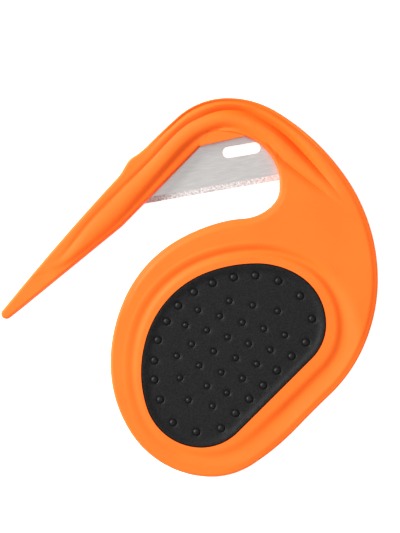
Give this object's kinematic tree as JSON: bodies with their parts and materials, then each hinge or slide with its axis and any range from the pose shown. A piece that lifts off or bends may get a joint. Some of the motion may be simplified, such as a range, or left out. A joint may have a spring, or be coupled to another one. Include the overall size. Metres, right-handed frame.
{
  "type": "hook cutter",
  "caption": "Hook cutter: a round paddle grip with a curved crown and long tapering arm, and a fixed blade clamped across the throat between two shells.",
  "frame": {"origin": "middle of the overall length and height, on the plane of the rear face that the cutter lies on", "axes": "+Z out of the front face, +Y towards the crown, +X away from the arm's tip; -Z out of the rear face"},
  "size_m": [0.1254, 0.126, 0.013],
  "materials": {
    "orange_plastic": "fine satin texture",
    "black_rubber": "matte",
    "blade_steel": "brushed along the length, ground edge",
    "screw_steel": "zinc plated"
  },
  "bodies": {
    "root": {"front_shell": "orange_plastic", "rear_shell": "orange_plastic", "blade": "blade_steel", "front_grip_pad": "black_rubber", "rear_grip_pad": "black_rubber", "shell_screws": "screw_steel"}
  },
  "joints": []
}
